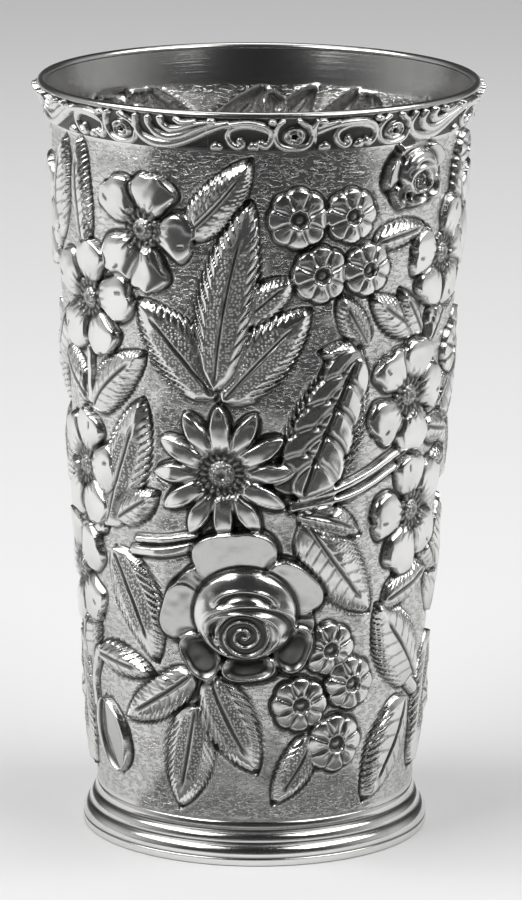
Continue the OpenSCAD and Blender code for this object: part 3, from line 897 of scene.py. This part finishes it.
# The inside follows the relief a little softened, and its flare is filed rounder than the outside's.
inner_rows = np.arange(0, row_count, 2)
filed = np.clip((row_heights - flare_start) / (wall_top - flare_start), 0, 1)
filed = flare_width * (filed ** 1.3 - filed ** 2)
inner_radii = (wall_radius(row_heights) + filed)[:, None] + 1.05 * blurred(relief, 1) - sheet
lathe_band = plain + 0 * relief
# Inside, the plain bands under the lip and over the foot are painted 0.4 darker as shade in the mouth; the
# backs of the chased forms are hollows there and carry tarnish.
inner_tarnish_and_shade = 0.05 + 0.4 * plain + np.clip(-1.6 * hollow, 0, 0.75)
wall_masks = (("tarnish_and_shade", tarnish_and_shade, inner_tarnish_and_shade), ("matting", matting, 0.6 * matting),
              ("stipple", stipple, 0 * relief), ("spun", 0 * relief, lathe_band))
inner_points = surface_points(row_heights, inner_radii, column_angles)
inner_normals = -surface_normals(inner_points)
wall_panels = ("front", "front_right", "back_right", "back", "back_left", "front_left")
middle_radius = 32.5


def grid_quads(rows, columns, start, flip):
    """Quads of a grid of points counted row by row."""
    index = start + np.arange(rows * columns).reshape(rows, columns)
    quad = [index[:-1, :-1], index[:-1, 1:], index[1:, 1:], index[1:, :-1]]
    return np.stack(quad[::-1] if flip else quad, axis=-1).reshape(-1, 4)


def grid_border(rows, columns, start):
    """The point numbers round the edge of such a grid, counted against the clock from outside."""
    index = start + np.arange(rows * columns).reshape(rows, columns)
    return np.concatenate([index[0, :-1], index[:-1, -1], index[-1, :0:-1], index[:0:-1, 0]])


def sheet_edges(outer, inner):
    """Faces that join the edge of a fine grid to that of a grid half as fine behind it."""
    faces = []
    for step in range(len(inner)):
        after = (step + 1) % len(inner)
        fine = [outer[2 * step], outer[2 * step + 1], outer[(2 * step + 2) % len(outer)]]
        faces.append([int(point) for point in (fine[2], fine[1], fine[0], inner[step], inner[after])])
    return faces


def sheet_faces(outer, inner):
    """Faces of a closed sheet, from the rows and columns of its fine outer and its inner grid."""
    start = outer[0] * outer[1]
    faces = grid_quads(*outer, 0, False).tolist() + grid_quads(*inner, start, True).tolist()
    return faces + sheet_edges(grid_border(*outer, 0), grid_border(*inner, start))


def bake_map(outer_count, across, up, span):
    """Each panel flat in the unit square: its outside in the left two thirds, its inside at the right."""
    along = across / span
    rise = (up - row_heights[0]) / (row_heights[-1] - row_heights[0])
    is_outer = np.arange(len(up)) < outer_count
    left = np.where(is_outer, 0.01 + 0.63 * along, 0.99 - 0.33 * along)
    return np.stack([left, 0.01 + 0.98 * rise], axis=-1)


def wall_panel(number, name):
    """A share of the wall: its chased outside, its inside and the sheet's edges."""
    span = wall_columns // len(wall_panels)
    first = number * span - span // 2
    outside = np.arange(first, first + span + 1)
    inside = outside[::2]
    outer_count = row_count * len(outside)

    def both(outer, inner):
        """What the panel's outer points have, then what its inner ones have."""
        return np.concatenate([outer[:, outside % wall_columns].reshape(-1, *outer.shape[2:]),
                               inner[inner_rows][:, inside % wall_columns].reshape(-1, *inner.shape[2:])])

    faces = sheet_faces((row_count, len(outside)), (len(inner_rows), len(inside)))
    mesh = plain_mesh(name, both(outer_points, inner_points).tolist(), faces)
    mesh.materials.append(chased_silver)
    for mask, outer, inner in wall_masks:
        set_attribute(mesh, mask, both(outer, inner))
    across = np.concatenate([np.tile(outside, row_count), np.tile(inside, len(inner_rows))]) * column_step
    up = np.concatenate([np.repeat(row_heights, len(outside)),
                         np.repeat(row_heights[inner_rows], len(inside))])
    flat = np.stack([across * math.pi / 180 * middle_radius * MM, up * MM], axis=-1)
    sheet_map = bake_map(outer_count, across - outside[0] * column_step, up, span * column_step)
    corners = np.zeros(len(mesh.loops), dtype=np.int32)
    mesh.loops.foreach_get("vertex_index", corners)
    for map_name, places in (("wall_mm", flat), ("OFBake", sheet_map)):
        layer = mesh.uv_layers.new(name=map_name)
        layer.data.foreach_set("uv", places[corners].astype(np.float32).ravel())
    mesh.normals_split_custom_set_from_vertices(both(outer_normals, inner_normals).tolist())
    add_piece(name, mesh, "body_wall")


for panel_number, panel_name in enumerate(wall_panels):
    wall_panel(panel_number, "body_wall_" + panel_name)

# Rim border
# A cast strip of scrolls, leaves and small drilled roses, bent round the flare under the lip, butted at
# one seam and soldered on. Seven whole repeats and one cut short at the seam.

border_low, border_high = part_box("rim_border")
border_base = border_low.z / MM
border_top = border_high.z / MM + 0.3
border_skin = 0.5
border_relief = 0.75
border_repeats = 7
border_seam = 15.0
border_pitch = 47.37
border_end = 360 - border_repeats * border_pitch
border_seam_gap = 0.12
border_columns = 216
border_rows = 45
border_lean = 0.75

# Strands of one repeat: angle from its start, height over its lower edge, then half width at each place.
border_strands = (
    ((28.2, 5.6, 0.30), (27.6, 3.6, 0.50), (29.0, 1.9, 0.62), (32.6, 0.95, 0.70), (37.0, 0.95, 0.66),
     (41.0, 1.65, 0.60), (45.0, 2.75, 0.55), (49.0, 3.85, 0.50), (53.0, 4.75, 0.46), (57.6, 5.15, 0.44),
     (61.4, 4.8, 0.44), (63.6, 3.7, 0.46), (63.8, 2.0, 0.46), (62.6, 1.1, 0.50), (61.3, 1.5, 0.60)),
    ((31.8, 5.4, 0.42), (31.6, 4.2, 0.48), (33.0, 2.9, 0.55), (36.2, 2.1, 0.58), (40.0, 2.45, 0.55),
     (44.0, 3.5, 0.48), (48.5, 4.6, 0.36), (53.0, 5.3, 0.2)),
    ((35.4, 5.5, 0.52), (35.6, 4.4, 0.52), (37.4, 3.6, 0.52), (40.4, 3.8, 0.46), (44.5, 4.75, 0.36),
     (49.0, 5.4, 0.2)),
    ((39.6, 5.5, 0.42), (41.0, 4.95, 0.40), (44.5, 5.4, 0.25)),
    ((8.5, 2.0, 0.55), (9.1, 1.35, 0.50), (7.9, 0.85, 0.46), (6.2, 1.5, 0.46), (5.4, 2.7, 0.46),
     (6.3, 3.8, 0.46), (9.0, 4.5, 0.46), (12.0, 4.4, 0.44), (14.4, 3.9, 0.36), (15.8, 3.3, 0.2)),
    ((19.6, 5.6, 0.36), (18.2, 4.6, 0.40), (17.6, 3.0, 0.42), (18.4, 1.5, 0.42), (20.4, 0.75, 0.46),
     (22.6, 0.6, 0.5), (24.8, 0.75, 0.46), (26.6, 1.4, 0.42), (27.2, 2.6, 0.36)),
    ((23.6, 5.6, 0.40), (24.6, 5.0, 0.42), (26.2, 4.4, 0.40), (27.0, 3.4, 0.3)),
    ((1.6, 0.8, 0.5), (2.4, 0.95, 0.55), (3.2, 0.8, 0.45)),
    ((11.4, 0.9, 0.5), (12.0, 1.15, 0.55), (12.6, 0.9, 0.45)),
    ((1.2, 5.35, 0.55), (1.6, 5.35, 0.5)),
    ((16.6, 5.35, 0.5), (17.0, 5.3, 0.5)),
)
strand_swell = 1.25
border_rose_place = (22.6, 2.75)
border_rose_size = (2.05, 1.75)


def border_field(columns, rows):
    """Relief of one repeat, as a share of its height, on a grid of angles and heights."""
    angles, heights = np.meshgrid(columns, rows)
    middle = (wall_radius(border_base) + wall_radius(border_top)) / 2 + border_skin
    scale = middle * math.pi / 180
    field = np.zeros_like(angles)
    for points in border_strands:
        path = smooth_path(points, 6)
        for lap in (-border_pitch, 0, border_pitch):
            for first, second in zip(path, path[1:]):
                run = (second - first)[:2] * (scale, 1)
                gap, share = from_line((angles - first[0] - lap) * scale, heights - first[1], run)
                half = strand_swell * (first[2] + share * (second[2] - first[2]))
                rise = np.sqrt(np.clip(1 - (gap / half) ** 2, 0, 1)) * (0.45 + 0.7 * half)
                field = np.maximum(field, rise)
    u = (angles - border_rose_place[0]) * scale / border_rose_size[0]
    v = (heights - border_rose_place[1]) / border_rose_size[1]
    r = np.hypot(u, v)
    waves = np.cos(5 * np.arctan2(v, u))
    ring = ridge(r, 0.74, 0.2) * (0.88 + 0.12 * waves)
    inner = 0.85 * ridge(r, 0.38 + 0.04 * waves, 0.13)
    drilled = np.exp(-(r / 0.22) ** 4)
    flower = np.maximum(field * smooth(r, 0.8, 1.15), np.maximum(ring, inner))
    return np.where(r < 1.15, flower, field) - 0.35 * drilled


def border_blur(field, reach):
    """The field averaged over a square of reach points each way."""
    padded = np.pad(field, reach, mode="edge")
    total = 0
    for down in range(2 * reach + 1):
        for over in range(2 * reach + 1):
            total = total + padded[down:down + field.shape[0], over:over + field.shape[1]]
    return total / (2 * reach + 1) ** 2


def border_unit(name, first, last, count):
    """A length of the strip as a closed mesh: relief in front, a smooth back against the wall."""
    columns = np.linspace(first, last, count)
    rows = np.linspace(0, border_top - border_base, border_rows)
    field = border_field(columns, rows)
    recess = 1.5 * (border_blur(border_blur(field, 2), 3) - field)
    dark = np.clip(recess + 0.9 * (1 - smooth(field, 0.02, 0.22)), 0.1, 1)
    round_low = np.sqrt(np.clip(1 - (1 - np.clip(rows / 0.5, 0, 1)) ** 2, 0, 1))[:, None]
    heights = border_base + rows
    back = wall_radius(heights)[:, None] + 0 * field - 0.02
    lean = border_lean * smooth(rows, 2.6, rows[-1])[:, None] * smooth(field, 0.1, 0.7)
    front = wall_radius(heights)[:, None] + (border_skin + border_relief * field + lean) * round_low
    degrees = columns + border_seam
    front_points = surface_points(heights, front, degrees).reshape(-1, 3)
    back_points = surface_points(heights[::2], back[::2], degrees)[:, ::2].reshape(-1, 3)
    faces = sheet_faces((border_rows, count), (len(heights[::2]), len(columns[::2])))
    mesh = plain_mesh(name, np.concatenate([front_points, back_points]).tolist(), faces)
    set_attribute(mesh, "tarnish_and_shade", np.concatenate([dark.ravel(), np.full(len(back_points), 0.5)]))
    return add_object(name, mesh)


def ring_group():
    """Geometry nodes that repeat one unit round the axis and add an end unit after the last."""
    tree, source, result = node_group(
        "border_ring", "GeometryNodeTree",
        {"Geometry": "Geometry", "Unit": "Object", "End Unit": "Object", "Count": "Int", "Pitch": "Float",
         "Material": "Material"}, {"Geometry": "Geometry"})
    given = source.outputs

    def linked(kind, **links):
        made = tree.nodes.new(kind)
        for socket, value in links.items():
            tree.links.new(value, made.inputs[socket])
        return made

    def shape(name):
        return linked("GeometryNodeObjectInfo", Object=given[name]).outputs["Geometry"]

    def about_axis(turn):
        return linked("ShaderNodeCombineXYZ", Z=turn).outputs["Vector"]

    index = tree.nodes.new("GeometryNodeInputIndex").outputs[0]
    turn = math_node(tree, "MULTIPLY", index, given["Pitch"])
    last_turn = math_node(tree, "MULTIPLY", given["Count"], given["Pitch"])
    spots = linked("GeometryNodePoints", Count=given["Count"]).outputs["Points"]
    repeat = linked("GeometryNodeInstanceOnPoints",
                    Points=spots, Instance=shape("Unit"), Rotation=about_axis(turn))
    end = linked("GeometryNodeTransform", Geometry=shape("End Unit"), Rotation=about_axis(last_turn))
    join = linked("GeometryNodeJoinGeometry", Geometry=repeat.outputs["Instances"])
    tree.links.new(end.outputs["Geometry"], join.inputs["Geometry"])
    real = linked("GeometryNodeRealizeInstances", Geometry=join.outputs["Geometry"])
    finish = linked("GeometryNodeSetMaterial", Geometry=real.outputs["Geometry"], Material=given["Material"])
    tree.links.new(finish.outputs["Geometry"], result.inputs["Geometry"])
    return tree


def border_ring(unit, end_unit, material):
    """The whole border as one mesh object."""
    tree = ring_group()
    holder = add_object("border_holder", bpy.data.meshes.new("border_holder"))
    modifier = holder.modifiers.new("border_ring", "NODES")
    modifier.node_group = tree
    values = {"Unit": unit, "End Unit": end_unit, "Count": border_repeats,
              "Pitch": math.radians(border_pitch), "Material": material}
    for item in tree.interface.items_tree:
        if item.in_out == "INPUT" and item.name in values:
            modifier[item.identifier] = values[item.name]
    shown = holder.evaluated_get(bpy.context.evaluated_depsgraph_get())
    mesh = bpy.data.meshes.new_from_object(shown)
    for helper in (holder, unit, end_unit):
        bpy.data.objects.remove(helper)
    mesh.name = "rim_border_cast"
    add_piece("rim_border_cast", mesh, "rim_border")


def cast_grain(tree, place):
    """The slightly soft, pitted skin of a casting."""
    return noise(tree, place, 2600.0, 2.0)


cast_silver = silver_material("cast_silver", 0.2, cast_grain, 0.000008)
seam_half = math.degrees(border_seam_gap / 2 / wall_top_radius)
whole_unit = border_unit("border_unit", 0, border_pitch, border_columns + 1)
end_count = 2 * int(border_columns * border_end / border_pitch / 2) + 1
end_unit = border_unit("border_end_unit", 0, border_end - 2 * seam_half, end_count)
border_ring(whole_unit, end_unit, cast_silver)

# Lip wire
# A half-round silver wire, bent to a ring. It is soldered on the edge of the wall, over the border, and
# filed flush inside.

wire_low, wire_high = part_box("lip_wire")
wire_radius = wire_high.x / MM
wire_base = wire_low.z / MM
wire_top = wire_high.z / MM
wire_inner = wall_top_radius - sheet
wire_steps = 16
wire_sides = 320


def wire_outline():
    """The rounded section of the lip from its inner foot over the top to its outer foot."""
    middle = (wire_inner + wire_radius) / 2
    half = (wire_radius - wire_inner) / 2
    outline = []
    for step in range(wire_steps + 1):
        turn = math.pi * (1 - step / wire_steps)
        rise = (wire_top - wire_base) * math.sin(turn) ** 0.9
        outline.append((middle + half * math.cos(turn), wire_base + rise))
    return outline[::-1]


wire_section = wire_outline()
wire_marks = [0.5] + [0.28] * (len(wire_section) - 2) + [0.4]
turned_piece("lip_wire_half_round", wire_section, wire_sides, wire_marks,
             polished_silver, "lip_wire")

# Floor
# A plain pale studio floor that the cup stands on, with painted shade that makes it a little greyer near the
# cup. Far from the cup the camera sees it go over into an even backdrop, which lights nothing.

floor_half = 6.0
backdrop_tone = 0.55
near_paper_painted_shade = (0.79, 0.79, 0.79)
far_paper = (0.86, 0.86, 0.86)


def away_from_cup(tree):
    """Distance from the foot of the cup's axis."""
    away = add_node(tree, "ShaderNodeVectorMath", operation="LENGTH")
    tree.links.new(add_node(tree, "ShaderNodeTexCoord").outputs["Object"], away.inputs[0])
    return away.outputs["Value"]


def floor_material():
    """Pale matt paper with painted shade that makes it a little greyer where the cup stands; it ends in the
    backdrop's even tone.
    """
    material, tree, shader = shader_material("studio_floor")
    away = away_from_cup(tree)
    paper = colour_mix(tree, ramp(tree, away, 0.15, 1.3), near_paper_painted_shade, far_paper)
    tree.links.new(paper, shader.inputs["Base Color"])
    shader.inputs["Roughness"].default_value = 0.8
    distant = ramp(tree, away, 0.55, 1.6)
    ray = add_node(tree, "ShaderNodeLightPath").outputs
    seen = combine(tree, "MAXIMUM", ray["Is Camera Ray"], ray["Is Glossy Ray"], ray["Is Transmission Ray"])
    haze = add_node(tree, "ShaderNodeEmission", Color=(backdrop_tone, backdrop_tone, backdrop_tone, 1))
    blend = add_node(tree, "ShaderNodeMixShader")
    tree.links.new(math_node(tree, "MULTIPLY", distant, seen), blend.inputs[0])
    tree.links.new(shader.outputs["BSDF"], blend.inputs[1])
    tree.links.new(haze.outputs["Emission"], blend.inputs[2])
    tree.links.new(blend.outputs["Shader"], tree.nodes["Material Output"].inputs["Surface"])
    return material


floor_corners = [(-floor_half, -floor_half, 0), (floor_half, -floor_half, 0),
                 (floor_half, floor_half, 0), (-floor_half, floor_half, 0)]
floor_mesh = plain_mesh("studio_floor", floor_corners, [(0, 1, 2, 3)])
floor_mesh.materials.append(floor_material())
add_object("studio_floor", floor_mesh)

# Light
# A soft box high on either side, a weak one over the paper behind the cup, and a dim room. A dark card
# lies on the floor before the cup, so that its polished front mirrors more than white paper.

card_near = 0.036
card_thin = 0.11
card_full = 0.2
card_far = 1.4
card_near_share = 0.9
card_thin_share = 0.08
card_half_angle = 62.0
card_steps = 24
card_height = 0.003


def soft_box(name, place, target, wide, tall, power):
    """A soft rectangular lamp that faces a target."""
    lamp = bpy.data.lights.new(name, "AREA")
    lamp.shape = "RECTANGLE"
    lamp.size = wide
    lamp.size_y = tall
    lamp.energy = power
    made = add_object(name, lamp)
    made.location = place
    made.rotation_euler = (Vector(target) - Vector(place)).to_track_quat("-Z", "Y").to_euler()
    return made


def card_material(name):
    """Black card that fades in with the distance from the cup, after a soft shade close to the foot."""
    material, tree, shader = shader_material(name)
    shader.inputs["Base Color"].default_value = (0.035, 0.035, 0.035, 1)
    shader.inputs["Roughness"].default_value = 0.9
    away = away_from_cup(tree)
    fade = ramp(tree, away, card_thin, card_full, (card_thin_share, 1.0), "LINEAR")
    close = math_node(tree, "MULTIPLY", ramp(tree, away, card_thin, card_near), card_near_share)
    tree.links.new(math_node(tree, "MAXIMUM", fade, close), shader.inputs["Alpha"])
    return material


def dark_card(name):
    """A sector of card just over the floor that only reflections show."""
    points = []
    for step in range(card_steps + 1):
        turn = math.radians(card_half_angle * (2 * step / card_steps - 1))
        for away in (card_near, card_far):
            points.append((away * math.sin(turn), -away * math.cos(turn), card_height))
    quads = [(2 * step, 2 * step + 1, 2 * step + 3, 2 * step + 2) for step in range(card_steps)]
    mesh = plain_mesh(name, points, quads)
    mesh.materials.append(card_material(name))
    card = add_object(name, mesh)
    card.visible_camera = False
    card.visible_diffuse = False
    card.visible_shadow = False


dark_card("front_card")
soft_box("left_box", (-0.62, -0.26, 0.78), (0, 0, 0.1), wide=0.9, tall=0.42, power=7.2)
soft_box("right_box", (0.62, -0.26, 0.78), (0, 0, 0.1), wide=0.9, tall=0.42, power=5.8)
rear = soft_box("rear_box", (0, 0.5, 0.85), (0, 0.5, 0), wide=1.8, tall=1.2, power=2.7)
rear.data.spread = math.radians(70)


def room_world():
    """A dim room before the cup, a pale one beside it, a dim ceiling, and the backdrop for the camera."""
    world = bpy.data.worlds.new("studio_room")
    world.use_nodes = True
    tree = world.node_tree
    place = add_node(tree, "ShaderNodeTexCoord").outputs["Generated"]
    apart = add_node(tree, "ShaderNodeSeparateXYZ")
    tree.links.new(place, apart.inputs["Vector"])
    front, up = apart.outputs["Y"], apart.outputs["Z"]
    glow = ramp(tree, front, -0.75, 0.1, (0.03, 0.5))
    ceiling = ramp(tree, up, 0.3, 0.75, (1.0, 0.15))
    behind = math_node(tree, "MULTIPLY", ramp(tree, front, 0.35, 0.8), ramp(tree, up, -0.02, 0.1))
    shade = math_node(tree, "MULTIPLY_ADD", behind, -0.88, 1.0)
    strength = combine(tree, "MULTIPLY", glow, ceiling, shade)
    seen = add_node(tree, "ShaderNodeLightPath").outputs["Is Camera Ray"]
    level = add_node(tree, "ShaderNodeMix", B=backdrop_tone)
    tree.links.new(seen, level.inputs["Factor"])
    tree.links.new(strength, level.inputs["A"])
    tree.links.new(level.outputs["Result"], tree.nodes["Background"].inputs["Strength"])
    tree.nodes["Background"].inputs["Color"].default_value = (1, 1, 1, 1)
    return world


bpy.context.scene.world = room_world()

# Camera
# Where the photograph was taken from: a long lens in front of the cup, a little above its lip and tilted
# down, with the small turn and roll that the rim and the foot in it show.

camera_distance = 0.928
camera_height = 0.2857
camera_tilt = 13.217
camera_turn = -0.046
camera_roll = -0.375
camera_lens = 214.3


def place_camera():
    """A still camera without depth of field."""
    data = bpy.data.cameras.new("photo_camera")
    data.lens = camera_lens
    made = add_object("photo_camera", data)
    turn = Matrix.Rotation(math.radians(camera_turn), 4, "Z")
    tilt = Matrix.Rotation(math.radians(90 - camera_tilt), 4, "X")
    roll = Matrix.Rotation(math.radians(-camera_roll), 4, "Z")
    made.matrix_world = Matrix.Translation((0, -camera_distance, camera_height)) @ turn @ tilt @ roll
    bpy.context.scene.camera = made


place_camera()
bpy.context.scene.view_settings.view_transform = "Standard"
